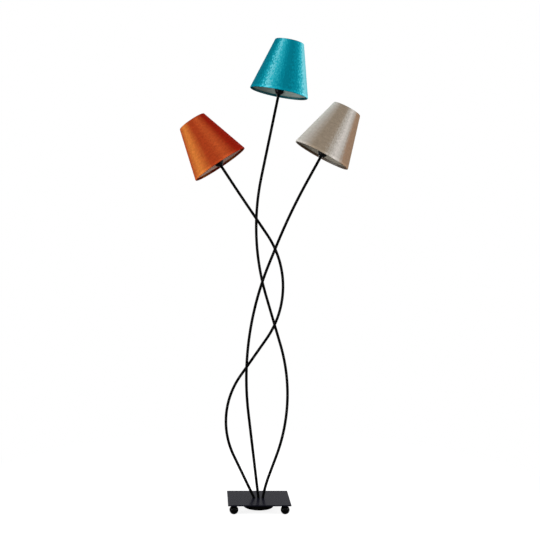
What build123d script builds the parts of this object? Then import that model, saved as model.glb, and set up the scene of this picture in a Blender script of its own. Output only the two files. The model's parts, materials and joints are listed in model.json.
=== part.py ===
from build123d import *
import os
from math import acos, asin, atan2, cos, hypot, radians, sin, sqrt, tan

# Three-light floor lamp in millimetres, +Z up, front towards -Y.
# The origin is on the floor, under the middle of the base plate.

# Base plate and its ball feet
PLATE_WIDTH = 213.0
PLATE_DEPTH = 166.0
PLATE_THICKNESS = 4.0
PLATE_CORNER_RADIUS = 2.0
PLATE_EDGE_ROUND = 0.6
FOOT_DIAMETER = 30.0
FOOT_REST_DIAMETER = 8.0
FOOT_COLLAR_DIAMETER = 12.0
FOOT_COLLAR_HEIGHT = 1.5
FOOT_INSET_X = 20.0
FOOT_INSET_Y = 17.0
STUD_DIAMETER = 6.0
STUD_LENGTH = 14.0
STUD_CLEARANCE = 0.1

# Cast weight under the plate, with a pocket for the wiring
WEIGHT_DIAMETER = 103.0
WEIGHT_EDGE_RADIUS = 2.0
WEIGHT_FLOOR = 4.5
POCKET_DEPTH = 20.0
POCKET_CLEARANCE = 1.2
SCREW_DIAMETER = 4.0
SCREW_CLEARANCE = 0.25
SCREW_HEAD_DIAMETER = 7.0
SCREW_HEAD_HEIGHT = 3.0
SCREW_WALL = 3.0
SCREW_SKIN = 1.0
SCREW_ANGLES = (30.0, 150.0, 270.0)

# Terminal block in the pocket and cord gland in the pocket's rear wall
BLOCK_POLE_WIDTH = 12.0
BLOCK_DEPTH = 15.0
BLOCK_HEIGHT = 11.0
BLOCK_DISTANCE = 12.0
BLOCK_GROOVE = 1.5
GLAND_DIAMETER = 9.0
GLAND_BORE = 6.2
GLAND_FLANGE_DIAMETER = 13.0
GLAND_FLANGE_THICKNESS = 2.0
GLAND_CLEARANCE = 0.1

# Bent tubes, their threaded ends and the cables inside
TUBE_DIAMETER = 9.5
TUBE_BORE = 6.0
TUBE_END_DIAMETER = 8.0
TUBE_END_CLEARANCE = 0.1
TUBE_END_SPARE = 1.0
TUBE_FOOT_BEND = 8.0
TUBE_STRAIGHT_MIN = 5.0
NUT_ACROSS_FLATS = 13.0
NUT_THICKNESS = 4.0
NUT_GAP = 2.0
WASHER_THICKNESS = 1.2
WASHER_BORDER = 0.5
CABLE_DIAMETER = 4.4

# Heights of the shades' lower rims above the floor, at their middles
LEFT_RIM_HEIGHT = 1179.0
RIGHT_RIM_HEIGHT = 1207.0
TOP_RIM_HEIGHT = 1418.5

# Rise of each tube's last run, from its last bend corner up to the rim
LEFT_LAST_RISE = 95.0
RIGHT_LAST_RISE = 188.5
TOP_LAST_RISE = 486.0

# Each tube: hole in the row of three, bend corners and radii, and the middle of its shade's lower rim
TUBES = {
    "left": (
        -1,
        [
            (-154.5, 0.0, 327.5),
            (149.0, 0.0, 762.5),
            (-70.0, 4.0, LEFT_RIM_HEIGHT - LEFT_LAST_RISE),
        ],
        [275.0, 314.0, 2000.0],
        (-132.5, 10.0, LEFT_RIM_HEIGHT),
    ),
    "right": (
        0,
        [
            (-67.5, -14.0, 596.5),
            (103.0, -24.4, RIGHT_RIM_HEIGHT - RIGHT_LAST_RISE),
        ],
        [1040.0, 2000.0],
        (205.8, -28.5, RIGHT_RIM_HEIGHT),
    ),
    "top": (
        1,
        [
            (23.5, 1.0, 78.0),
            (132.0, 7.5, 370.5),
            (-34.5, 18.5, TOP_RIM_HEIGHT - TOP_LAST_RISE),
        ],
        [450.0, 612.0, 835.0],
        (65.3, 10.0, TOP_RIM_HEIGHT),
    ),
}

# Lampholder, along its own axis, with zero at the lower rim of the shade
HOLDER_DROP = 4.0
CAP_DIAMETER = 33.0
CAP_FLAT_DIAMETER = 17.0
CAP_DOME_HEIGHT = 16.0
CAP_HEIGHT = 24.0
CAP_FLOOR = 3.0
CAVITY_CLEARANCE = 1.5
SKIRT_DIAMETER = 27.8
SKIRT_WALL = 1.9
SKIRT_ENGAGEMENT = 10.0
SKIRT_HEIGHT = 30.0
SKIRT_LIP = 2.0
THREAD_CLEARANCE = 0.1
INSERT_LENGTH = 34.0
INSERT_FLOOR = 8.0
INSERT_CLEARANCE = 0.1
SHELL_BORE = 13.9
SHELL_WALL = 0.6
SHELL_CLEARANCE = 0.05
CONTACT_DIAMETER = 4.4
CONTACT_HEIGHT = 2.5
SEAT_GAP = 0.1
SHADE_RING_DIAMETER = 38.0
SHADE_RING_FLANGE = 3.0
SHADE_RING_NECK_WALL = 2.4
SHADE_RING_HEIGHT = 8.0
SHADE_RING_GRIPS = 16
SHADE_RING_GRIP_RADIUS = 1.4

# Bulb with a small screw cap and a round glass
BULB_CAP_CLEARANCE = 0.1
BULB_CAP_LENGTH = 25.0
BULB_TIP_DIAMETER = 5.0
BULB_TIP_HEIGHT = 2.4
BULB_DIAMETER = 45.0
BULB_NECK_LENGTH = 31.0
BULB_GLASS_WALL = 0.9

# Velvet cone shade on its wire frame
SHADE_BOTTOM_DIAMETER = 200.0
SHADE_TOP_DIAMETER = 98.0
SHADE_HEIGHT = 176.0
VELVET_THICKNESS = 1.0
LINER_THICKNESS = 0.6
LINER_GAP = 0.05
RING_WIRE_DIAMETER = 2.8
RING_WIRE_CLEARANCE = 0.2
HEM_LENGTH = 8.0
SPOKE_DIAMETER = 2.4
SPOKE_CLEARANCE = 0.3
SPOKE_ANGLES = (90.0, 210.0, 330.0)
CARRIER_DIAMETER = 42.0
CARRIER_CLEARANCE = 0.4
CARRIER_THICKNESS = 1.5
CARRIER_OVERLAP = 1.4

# Heights worked out from the sizes above
foot_radius = FOOT_DIAMETER / 2
foot_centre_z = sqrt(foot_radius**2 - (FOOT_REST_DIAMETER / 2) ** 2)
plate_bottom = foot_centre_z + foot_radius + FOOT_COLLAR_HEIGHT
plate_top = plate_bottom + PLATE_THICKNESS
weight_height = POCKET_DEPTH + WEIGHT_FLOOR
weight_bottom = plate_bottom - weight_height
pocket_floor = plate_bottom - POCKET_DEPTH
cable_z = pocket_floor + BLOCK_HEIGHT / 2
tube_end_z = plate_bottom - WASHER_THICKNESS - NUT_THICKNESS - TUBE_END_SPARE

# Places worked out from the sizes above
hole_spacing = NUT_ACROSS_FLATS + NUT_GAP
foot_x = PLATE_WIDTH / 2 - FOOT_INSET_X
foot_y = PLATE_DEPTH / 2 - FOOT_INSET_Y
block_length = 2 * hole_spacing + BLOCK_POLE_WIDTH
pocket_radius = hypot(block_length / 2, BLOCK_DISTANCE + BLOCK_DEPTH) + POCKET_CLEARANCE
screw_circle = pocket_radius + SCREW_WALL + SCREW_DIAMETER / 2
nut_corner = NUT_ACROSS_FLATS / (2 * cos(radians(30)))

# Heights along a lampholder's axis
cap_bottom = -HOLDER_DROP
cap_top = cap_bottom + CAP_HEIGHT
cap_floor_top = cap_bottom + CAP_FLOOR
tube_end_top = cap_floor_top + NUT_THICKNESS + TUBE_END_SPARE
skirt_radius = SKIRT_DIAMETER / 2
skirt_bore = skirt_radius - SKIRT_WALL
skirt_top = cap_top + SKIRT_HEIGHT
insert_top = skirt_top - SKIRT_LIP - SEAT_GAP
insert_bottom = insert_top - INSERT_LENGTH
insert_floor_top = insert_bottom + INSERT_FLOOR
shell_radius = SHELL_BORE / 2 + SHELL_WALL
carrier_bottom = cap_top + SEAT_GAP
carrier_top = carrier_bottom + CARRIER_THICKNESS
ring_bottom = carrier_top + SEAT_GAP
bulb_bottom = insert_floor_top + CONTACT_HEIGHT + SEAT_GAP
bulb_cap_bottom = bulb_bottom + BULB_TIP_HEIGHT
bulb_cap_top = bulb_cap_bottom + BULB_CAP_LENGTH
bulb_cap_radius = SHELL_BORE / 2 - BULB_CAP_CLEARANCE

# The shade's slope
shade_run = (SHADE_BOTTOM_DIAMETER - SHADE_TOP_DIAMETER) / 2
shade_slant = hypot(shade_run, SHADE_HEIGHT)
fold_radius = VELVET_THICKNESS + RING_WIRE_CLEARANCE + RING_WIRE_DIAMETER / 2
liner_face = VELVET_THICKNESS + LINER_GAP + LINER_THICKNESS


def rod(radius, low, high):
    """Upright solid cylinder on the Z axis between two heights."""
    return Pos(0, 0, (low + high) / 2) * Cylinder(radius, high - low)


def collar(outer, inner, low, high):
    """Upright tube on the Z axis between two heights."""
    return rod(outer, low, high) - rod(inner, low, high)


def turned(*curves):
    """Solid turned about Z from a closed outline in the XZ plane."""
    edges = [edge for curve in curves for edge in curve.edges()]
    return revolve(Face(Wire(edges)), Axis.Z)


def rz(radius, height):
    """Point of a turned outline."""
    return (radius, 0, height)


def hex_nut(low):
    """Hexagon nut on the Z axis with its bore clear of the tube's threaded end."""
    blank = Pos(0, 0, low) * extrude(RegularPolygon(nut_corner, 6, rotation=30), NUT_THICKNESS)
    bore = TUBE_END_DIAMETER / 2 + TUBE_END_CLEARANCE
    return blank - rod(bore, low, low + NUT_THICKNESS)


def hole_x(index):
    """X of a tube's hole in the row of three."""
    return index * hole_spacing


def base_plate():
    """Flat plate with three tube holes and blind screw holes from below."""
    blank = extrude(RectangleRounded(PLATE_WIDTH, PLATE_DEPTH, PLATE_CORNER_RADIUS), PLATE_THICKNESS)
    rims = blank.edges().filter_by(Plane.XY)
    plate = Pos(0, 0, plate_bottom) * fillet(rims, PLATE_EDGE_ROUND)
    for index in (-1, 0, 1):
        hole = rod(TUBE_END_DIAMETER / 2 + TUBE_END_CLEARANCE, plate_bottom, plate_top)
        plate -= Pos(hole_x(index), 0, 0) * hole
    for angle in SCREW_ANGLES:
        hole = rod(SCREW_DIAMETER / 2 + SCREW_CLEARANCE, plate_bottom, plate_top - SCREW_SKIN)
        plate -= Rot(0, 0, angle) * Pos(screw_circle, 0, 0) * hole
    return plate


def ball_foot():
    """Ball with a collar under the plate, a flat to rest on and a blind hole for its stud."""
    ball = Pos(0, 0, foot_centre_z) * Sphere(foot_radius)
    ball += rod(FOOT_COLLAR_DIAMETER / 2, foot_centre_z, plate_bottom)
    ball -= rod(foot_radius, -foot_radius, 0)
    hole_bottom = plate_bottom - STUD_LENGTH - SEAT_GAP
    return ball - rod(STUD_DIAMETER / 2 + STUD_CLEARANCE, hole_bottom, plate_bottom)


def counterweight():
    """Round casting with a rounded lower edge, wiring pocket, screw holes and a hole for the gland."""
    body = rod(WEIGHT_DIAMETER / 2, weight_bottom, plate_bottom)
    body = fillet(body.edges().sort_by(Axis.Z)[0], WEIGHT_EDGE_RADIUS)
    body -= rod(pocket_radius, pocket_floor, plate_bottom)
    for angle in SCREW_ANGLES:
        bore = rod(SCREW_DIAMETER / 2 + SCREW_CLEARANCE, weight_bottom, plate_bottom)
        head_top = weight_bottom + SCREW_HEAD_HEIGHT
        recess = rod(SCREW_HEAD_DIAMETER / 2 + SCREW_CLEARANCE, weight_bottom, head_top)
        body -= Rot(0, 0, angle) * Pos(screw_circle, 0, 0) * (bore + recess)
    bore = rod(GLAND_DIAMETER / 2 + GLAND_CLEARANCE, 0, WEIGHT_DIAMETER)
    return body - Pos(0, 0, cable_z) * Rot(-90, 0, 0) * bore


def weight_screws():
    """Cap screws that hold the weight to the plate."""
    shank_top = plate_top - SCREW_SKIN - SCREW_CLEARANCE
    head_top = weight_bottom + SCREW_HEAD_HEIGHT
    screw = rod(SCREW_DIAMETER / 2, head_top, shank_top)
    screw += rod(SCREW_HEAD_DIAMETER / 2, weight_bottom, head_top)
    socket = extrude(RegularPolygon(SCREW_DIAMETER / 2, 6), SCREW_HEAD_HEIGHT / 2)
    screw -= Pos(0, 0, weight_bottom) * socket
    return [Rot(0, 0, angle) * Pos(screw_circle, 0, 0) * screw for angle in SCREW_ANGLES]


def terminal_block():
    """Three-pole block on the pocket's floor, with grooves between its poles."""
    middle = (0, BLOCK_DISTANCE + BLOCK_DEPTH / 2, cable_z)
    block = Pos(*middle) * Box(block_length, BLOCK_DEPTH, BLOCK_HEIGHT)
    top = pocket_floor + BLOCK_HEIGHT
    for side in (-1, 1):
        groove = Box(BLOCK_GROOVE, BLOCK_DEPTH, BLOCK_HEIGHT / 2)
        block -= Pos(side * hole_spacing / 2, middle[1], top) * groove
    for index in (-1, 0, 1):
        screw_well = rod(SCREW_DIAMETER / 2, cable_z, top)
        block -= Pos(hole_x(index), middle[1], 0) * screw_well
    return block


def cord_gland():
    """Flanged bush in the weight's rear wall."""
    face = WEIGHT_DIAMETER / 2
    bush = rod(GLAND_DIAMETER / 2, pocket_radius, face)
    bush += rod(GLAND_FLANGE_DIAMETER / 2, face, face + GLAND_FLANGE_THICKNESS)
    bush -= rod(GLAND_BORE / 2, pocket_radius, face + GLAND_FLANGE_THICKNESS)
    return Pos(0, 0, cable_z) * Rot(-90, 0, 0) * bush


def lamp_frame(corners, rim):
    """Plane of a lampholder: its Z runs along the tube's last straight and its zero is the shade's rim."""
    axis = (Vector(*rim) - Vector(*corners[-1])).normalized()
    return Plane(origin=rim, x_dir=(axis.Z, 0, -axis.X), z_dir=axis)


def bend_radii(index, corners, radii, frame):
    """Radii of a tube's bends, each limited where the straight runs beside it are too short for it."""
    foot = Vector(hole_x(index), 0, plate_top)
    shoulder = frame.from_local_coords((0, 0, cap_bottom))
    line = [foot, *[Vector(*corner) for corner in corners], shoulder]
    runs = [high - low for low, high in zip(line, line[1:])]
    half_turns = [radians(run.get_angle(after) / 2) for run, after in zip(runs, runs[1:])]
    reaches = [0.0, *[radius * tan(turn) for radius, turn in zip(radii, half_turns)], 0.0]
    fits = []
    for run, low, high in zip(runs, reaches, reaches[1:]):
        fits.append(min(1.0, (run.length - TUBE_STRAIGHT_MIN) / (low + high)))
    return [radius * min(low, high) for radius, low, high in zip(radii, fits, fits[1:])]


def bent_line(points, radii):
    """Line of straight runs with a tangent arc at each corner between its two ends."""
    points = [Vector(*point) for point in points]
    start = points[0]
    edges = []
    for before, corner, after, radius in zip(points, points[1:], points[2:], radii):
        into = (corner - before).normalized()
        onward = (after - corner).normalized()
        half_turn = radians(into.get_angle(onward) / 2)
        reach = radius * tan(half_turn)
        arc_start = corner - into * reach
        arc_middle = corner + (onward - into).normalized() * (radius / cos(half_turn) - radius)
        arc_end = corner + onward * reach
        edges.append(Edge.make_line(start, arc_start))
        edges.append(Edge.make_three_point_arc(arc_start, arc_middle, arc_end))
        start = arc_end
    return Wire([*edges, Edge.make_line(start, points[-1])])


def swept(path, radius):
    """Round bar along a path of straight runs and tangent arcs."""
    section = Plane(origin=path @ 0, z_dir=path % 0) * Circle(radius)
    return sweep(section, path=path)


def bent_tube(index, corners, radii, frame):
    """Hollow tube that stands at its slant on the plate, with a reduced threaded end at each end."""
    x = hole_x(index)
    foot = Vector(x, 0, plate_top)
    first_run = (Vector(*corners[0]) - foot).normalized()
    below = foot - first_run * TUBE_DIAMETER
    shoulder = frame.from_local_coords((0, 0, cap_bottom))
    tip = frame.from_local_coords((0, 0, tube_end_top))
    outer = swept(bent_line([below, *corners, shoulder], radii), TUBE_DIAMETER / 2)
    outer -= Pos(x, 0, 0) * rod(2 * TUBE_DIAMETER, plate_top - 2 * TUBE_DIAMETER, plate_top)
    outer += Pos(x, 0, 0) * rod(TUBE_END_DIAMETER / 2, tube_end_z, plate_top)
    outer += frame.location * rod(TUBE_END_DIAMETER / 2, cap_bottom, tube_end_top)
    bore = bent_line([(x, 0, tube_end_z), foot, *corners, tip], [TUBE_FOOT_BEND] + radii)
    return outer - swept(bore, TUBE_BORE / 2)


def tube_cable(index, corners, radii, frame):
    """Cable from the terminal block, through the tube, to the lampholder's insert."""
    x = hole_x(index)
    start = (x, BLOCK_DISTANCE, cable_z)
    elbow = (x, 0, cable_z)
    foot = (x, 0, plate_top)
    tip = frame.from_local_coords((0, 0, insert_bottom))
    bends = [tube_end_z - cable_z, TUBE_FOOT_BEND] + radii
    return swept(bent_line([start, elbow, foot, *corners, tip], bends), CABLE_DIAMETER / 2)


def dome_arc(low, high):
    """Arc of a dome's side from a low point up to a high point, where it stands upright."""
    across = high[0] - low[0]
    up = high[1] - low[1]
    radius = (across**2 + up**2) / (2 * across)
    half = asin(up / radius) / 2
    middle = (high[0] - radius + radius * cos(half), high[1] - radius * sin(half))
    return ThreePointArc(rz(*low), rz(*middle), rz(*high))


def holder_cap():
    """Dome-bottomed cup that takes the tube's end from below and the skirt's thread from above."""
    outer = CAP_DIAMETER / 2
    inner = skirt_radius + THREAD_CLEARANCE
    dome_top = cap_bottom + CAP_DOME_HEIGHT
    flat = CAP_FLAT_DIAMETER / 2
    cavity_flat = nut_corner + CAVITY_CLEARANCE
    cavity_top = cap_top - SKIRT_ENGAGEMENT
    hole = TUBE_END_DIAMETER / 2 + TUBE_END_CLEARANCE
    return turned(
        Polyline(
            rz(cavity_flat, cap_floor_top),
            rz(hole, cap_floor_top),
            rz(hole, cap_bottom),
            rz(flat, cap_bottom),
        ),
        dome_arc((flat, cap_bottom), (outer, dome_top)),
        Polyline(rz(outer, dome_top), rz(outer, cap_top), rz(inner, cap_top), rz(inner, cavity_top)),
        dome_arc((cavity_flat, cap_floor_top), (inner, cavity_top)),
    )


def holder_skirt():
    """Threaded sleeve above the cap, with a lip that keeps the insert in."""
    bottom = cap_top - SKIRT_ENGAGEMENT
    skirt = collar(skirt_radius, skirt_bore, bottom, skirt_top)
    lip_bore = shell_radius + SHELL_CLEARANCE
    return skirt + collar(skirt_bore, lip_bore, skirt_top - SKIRT_LIP, skirt_top)


def socket_insert():
    """Insulating sleeve with a floor, inside the skirt."""
    insert = rod(skirt_bore - INSERT_CLEARANCE, insert_bottom, insert_top)
    return insert - rod(shell_radius + SHELL_CLEARANCE, insert_floor_top, insert_top)


def socket_shell():
    """Metal screw shell in the insert."""
    return collar(shell_radius, SHELL_BORE / 2, insert_floor_top, insert_top)


def centre_contact():
    """Rounded contact on the insert's floor."""
    contact = rod(CONTACT_DIAMETER / 2, insert_floor_top, insert_floor_top + CONTACT_HEIGHT)
    return fillet(contact.edges().sort_by(Axis.Z)[-1], CONTACT_HEIGHT / 3)


def shade_ring():
    """Internally threaded ring with finger notches, which clamps the shade's carrier."""
    inner = skirt_radius + THREAD_CLEARANCE
    flange = SHADE_RING_DIAMETER / 2
    ring = collar(flange, inner, ring_bottom, ring_bottom + SHADE_RING_FLANGE)
    ring += collar(inner + SHADE_RING_NECK_WALL, inner, ring_bottom, ring_bottom + SHADE_RING_HEIGHT)
    notch = rod(SHADE_RING_GRIP_RADIUS, ring_bottom, ring_bottom + SHADE_RING_FLANGE)
    for turn in range(SHADE_RING_GRIPS):
        ring -= Rot(0, 0, turn * 360 / SHADE_RING_GRIPS) * Pos(flange, 0, 0) * notch
    return ring


def bulb_outline(radius, neck, bottom, centre):
    """Side of the glass: a straight neck that runs tangent into a sphere, up to the top."""
    drop = centre - bottom
    angle = atan2(neck, drop) + acos(radius / hypot(neck, drop))
    join = rz(radius * sin(angle), centre - radius * cos(angle))
    return [Line(rz(neck, bottom), join), ThreePointArc(join, rz(radius, centre), rz(0, centre + radius))]


def bulb_glass():
    """Hollow round glass whose neck stands on the bulb's cap."""
    centre = bulb_cap_top + BULB_NECK_LENGTH
    radius = BULB_DIAMETER / 2
    wall = BULB_GLASS_WALL
    outside = bulb_outline(radius, bulb_cap_radius, bulb_cap_top, centre)
    inside = bulb_outline(radius - wall, bulb_cap_radius - wall, bulb_cap_top, centre)
    foot = Line(rz(bulb_cap_radius - wall, bulb_cap_top), rz(bulb_cap_radius, bulb_cap_top))
    crown = Line(rz(0, centre + radius - wall), rz(0, centre + radius))
    return turned(*outside, *inside, foot, crown)


def bulb_cap():
    """Screw cap with a conical insulator and a contact tip."""
    tip = BULB_TIP_DIAMETER / 2
    return turned(
        Polyline(
            rz(0, bulb_bottom),
            rz(tip, bulb_bottom),
            rz(bulb_cap_radius, bulb_cap_bottom),
            rz(bulb_cap_radius, bulb_cap_top),
            rz(0, bulb_cap_top),
            rz(0, bulb_bottom),
        )
    )


def slope(along, depth):
    """Point at a distance up the shade's slope from its lower rim and a depth inside its outer face."""
    across = shade_run / shade_slant
    up = SHADE_HEIGHT / shade_slant
    radius = SHADE_BOTTOM_DIAMETER / 2 - along * across - depth * up
    return rz(radius, along * up - depth * across)


def shade_velvet():
    """Velvet cone folded round the wire ring at each rim, with a hem inside, notched for the spokes."""
    fold = fold_radius
    skin = VELVET_THICKNESS
    hem_out = liner_face + LINER_GAP
    hem_in = hem_out + skin
    top = shade_slant

    def rim_fold(start, edge, size):
        return ThreePointArc(slope(start, fold - size), slope(edge, fold), slope(start, fold + size))

    velvet = turned(
        Line(slope(fold, 0), slope(top - fold, 0)),
        rim_fold(top - fold, top, fold),
        Polyline(
            slope(top - fold, 2 * fold),
            slope(top - HEM_LENGTH, hem_in),
            slope(top - HEM_LENGTH, hem_out),
            slope(top - fold, 2 * fold - skin),
        ),
        rim_fold(top - fold, top - skin, fold - skin),
        Line(slope(top - fold, skin), slope(fold, skin)),
        rim_fold(fold, skin, fold - skin),
        Polyline(
            slope(fold, 2 * fold - skin),
            slope(HEM_LENGTH, hem_out),
            slope(HEM_LENGTH, hem_in),
            slope(fold, 2 * fold),
        ),
        rim_fold(fold, 0, fold),
    )
    for notch in spokes(SPOKE_DIAMETER / 2 + SPOKE_CLEARANCE):
        velvet -= notch
    return velvet


def spokes(radius):
    """Straight wires from the bottom ring up to the carrier ring."""
    outer = Vector(*slope(fold_radius, fold_radius))
    inner = Vector(CARRIER_DIAMETER / 2 - CARRIER_OVERLAP, 0, (carrier_bottom + carrier_top) / 2)
    wire = inner - outer
    bar = Plane(origin=outer, z_dir=wire).location * rod(radius, 0, wire.length)
    return [Rot(0, 0, angle) * bar for angle in SPOKE_ANGLES]


def shade_liner():
    """Stiff lining on the inside of the velvet, between the two folds."""
    low = 2 * fold_radius + LINER_GAP
    high = shade_slant - low
    face = VELVET_THICKNESS + LINER_GAP
    outline = [slope(low, face), slope(high, face), slope(high, liner_face), slope(low, liner_face)]
    return turned(Polyline(*outline, outline[0]))


def wire_ring(along):
    """Round wire ring in the fold of a rim."""
    centre = slope(along, fold_radius)
    return Pos(0, 0, centre[2]) * Torus(centre[0], RING_WIRE_DIAMETER / 2)


def shade_frame():
    """Bottom ring, spokes and carrier ring, welded into one."""
    bore = skirt_radius + CARRIER_CLEARANCE
    frame = collar(CARRIER_DIAMETER / 2, bore, carrier_bottom, carrier_top)
    frame += wire_ring(fold_radius)
    for wire in spokes(SPOKE_DIAMETER / 2):
        frame += wire
    return frame


# Pieces that every lamp has alike, in the lampholder's own frame
HEAD_PIECES = {
    "holder_cap": holder_cap(),
    "holder_skirt": holder_skirt(),
    "socket_insert": socket_insert(),
    "socket_shell": socket_shell(),
    "centre_contact": centre_contact(),
    "shade_ring": shade_ring(),
    "bulb_glass": bulb_glass(),
    "bulb_cap": bulb_cap(),
    "shade_velvet": shade_velvet(),
    "shade_liner": shade_liner(),
    "shade_frame": shade_frame(),
    "shade_top_ring": wire_ring(shade_slant - fold_radius),
}

nodes = {
    "base_plate": base_plate(),
    "counterweight": counterweight(),
    "weight_screws": Compound(children=weight_screws()),
    "terminal_block": terminal_block(),
    "cord_gland": cord_gland(),
}

# Four feet, each on its stud
stud = rod(STUD_DIAMETER / 2, plate_bottom - STUD_LENGTH, plate_bottom)
studs = []
for row, y_side in (("front", -1), ("rear", 1)):
    for column, x_side in (("left", -1), ("right", 1)):
        place = Pos(x_side * foot_x, y_side * foot_y, 0)
        nodes[f"foot_{row}_{column}"] = place * ball_foot()
        studs.append(place * stud)
nodes["foot_studs"] = Compound(children=studs)

# Three lamps, each with its tube, cable, fasteners and head
plate_nuts = []
washers = []
holder_nuts = []
washer_radius = NUT_ACROSS_FLATS / 2 + WASHER_BORDER
washer_bore = TUBE_END_DIAMETER / 2 + TUBE_END_CLEARANCE
for name, (index, corners, radii, rim) in TUBES.items():
    frame = lamp_frame(corners, rim)
    bends = bend_radii(index, corners, radii, frame)
    nodes[f"{name}_tube"] = bent_tube(index, corners, bends, frame)
    nodes[f"{name}_cable"] = tube_cable(index, corners, bends, frame)
    hole = Pos(hole_x(index), 0, 0)
    washers.append(hole * collar(washer_radius, washer_bore, plate_bottom - WASHER_THICKNESS, plate_bottom))
    plate_nuts.append(hole * hex_nut(plate_bottom - WASHER_THICKNESS - NUT_THICKNESS))
    holder_nuts.append(frame.location * hex_nut(cap_floor_top))
    for piece, solid in HEAD_PIECES.items():
        nodes[f"{name}_{piece}"] = frame.location * solid
    print(name, "axis", [round(value, 5) for value in frame.z_dir], "rim", rim)
nodes["tube_nuts"] = Compound(children=plate_nuts)
nodes["tube_washers"] = Compound(children=washers)
nodes["holder_nuts"] = Compound(children=holder_nuts)

os.makedirs("parts", exist_ok=True)
for name, solid in nodes.items():
    export_step(solid, f"parts/{name}.step")
print(len(nodes), "nodes, plate top at", round(plate_top, 3))
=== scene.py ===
# %% [markdown]
# # A three-light floor lamp
# Three bent black tubes rise from a flat plate on ball feet and carry velvet cone shades.
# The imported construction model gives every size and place, so it is loaded first and never moved.
# What is made here is the finish: turned and swept skins that repeat its sizes with smooth shading, velvet,
# paint and light.

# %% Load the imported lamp
import json
import math

import bmesh
import bpy
from mathutils import Matrix, Vector


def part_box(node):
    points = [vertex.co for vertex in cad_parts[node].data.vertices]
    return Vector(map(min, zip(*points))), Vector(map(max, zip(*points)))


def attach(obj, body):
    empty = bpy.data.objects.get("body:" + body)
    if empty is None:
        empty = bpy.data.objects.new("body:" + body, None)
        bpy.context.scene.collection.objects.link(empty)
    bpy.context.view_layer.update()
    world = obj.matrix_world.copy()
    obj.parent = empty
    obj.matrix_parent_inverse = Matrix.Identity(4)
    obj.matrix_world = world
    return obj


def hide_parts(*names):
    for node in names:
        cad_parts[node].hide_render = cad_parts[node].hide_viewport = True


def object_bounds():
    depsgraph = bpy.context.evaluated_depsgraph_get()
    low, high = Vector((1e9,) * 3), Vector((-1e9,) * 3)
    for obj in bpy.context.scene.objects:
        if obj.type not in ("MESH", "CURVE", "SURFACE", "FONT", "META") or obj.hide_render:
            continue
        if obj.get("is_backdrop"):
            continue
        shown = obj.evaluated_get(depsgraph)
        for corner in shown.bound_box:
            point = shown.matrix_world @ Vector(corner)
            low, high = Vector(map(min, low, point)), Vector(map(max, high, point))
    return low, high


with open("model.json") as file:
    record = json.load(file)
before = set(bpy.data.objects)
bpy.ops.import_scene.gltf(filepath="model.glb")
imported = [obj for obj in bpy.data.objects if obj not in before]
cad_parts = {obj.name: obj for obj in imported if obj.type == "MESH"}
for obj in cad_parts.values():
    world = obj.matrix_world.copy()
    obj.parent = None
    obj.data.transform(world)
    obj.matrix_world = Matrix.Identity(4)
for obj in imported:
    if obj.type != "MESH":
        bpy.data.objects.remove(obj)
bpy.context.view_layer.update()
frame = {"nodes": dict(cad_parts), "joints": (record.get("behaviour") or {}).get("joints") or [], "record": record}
MM = 0.001

# %% [markdown]
# ## Camera
# The lamp was photographed from about three metres, a little above its middle and tipped down three degrees,
# and the picture was cropped so that the lens's centre line falls left of its middle. A sideways lens shift
# gives that crop without turning the camera, so upright lines stay as they are in the picture.

# %% Camera
PICTURE_PX = 540
FOCAL_PX = 908.6
CENTRE_LINE_PX = 206
SENSOR_MM = 36
PITCH_DEG = 3.089
CAMERA_PLACE = (-0.1807, -3.086, 0.988)

lens = bpy.data.cameras.new("studio_camera")
lens.sensor_width = SENSOR_MM
lens.lens = SENSOR_MM * FOCAL_PX / PICTURE_PX
lens.shift_x = (PICTURE_PX / 2 - CENTRE_LINE_PX) / PICTURE_PX
camera = bpy.data.objects.new("studio_camera", lens)
camera.location = CAMERA_PLACE
camera.rotation_euler = (math.radians(90 - PITCH_DEG), 0, 0)
bpy.context.scene.collection.objects.link(camera)
bpy.context.scene.camera = camera
bpy.context.scene.view_settings.view_transform = "Standard"
print("lens:", round(lens.lens, 2), "mm, shift:", round(lens.shift_x, 4))

# %% [markdown]
# ## One helper for nodes, one for colour
# Every material below is a small tree of nodes. One helper adds a node, sets its properties and input values
# and wires its inputs, so that a tree reads like a list. Colours are written as the hex values that a colour
# picker shows, and one function turns them into the linear values that the renderer works in.

# %% Node and colour helpers
def add(tree, kind, values=None, links=None, **settings):
    """Adds one node with its settings, input values and wired inputs."""
    node = tree.nodes.new(kind)
    for name, value in settings.items():
        setattr(node, name, value)
    for socket, value in (values or {}).items():
        node.inputs[socket].default_value = value
    for socket, source in (links or {}).items():
        tree.links.new(source, node.inputs[socket])
    return node


def linear(hex_colour):
    """Linear RGBA of an sRGB hex colour."""
    parts = [int(hex_colour[i : i + 2], 16) / 255 for i in (1, 3, 5)]
    return (*[c / 12.92 if c <= 0.04045 else ((c + 0.055) / 1.055) ** 2.4 for c in parts], 1.0)


def empty_material(name):
    """New material with an empty tree."""
    material = bpy.data.materials.new(name)
    material.use_nodes = True
    material.node_tree.nodes.clear()
    return material, material.node_tree


print("teal as linear:", [round(c, 3) for c in linear("#0d8a9c")])

# %% [markdown]
# ## Studio
# A product picture like this is lit by a soft box on each side, the left one low and the right one tall, a
# larger one high in front and one high behind. The backdrop is burnt out to white. Here the world is white
# only for rays that come from the camera, a reflection or glass, and a soft grey for lighting, so the white
# costs the lamp none of its shading. The floor is lit, keeps a faint shadow near the lamp and is lifted
# towards white for the camera, and further out it fades to plain white.

# %% World and floor
AMBIENT = 0.425
FLOOR_RADIUS = 9.0
FLOOR_SIDES = 64
FLOOR_LIFT = 0.86
SHADOW_REACH = (0.35, 1.2)

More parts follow.
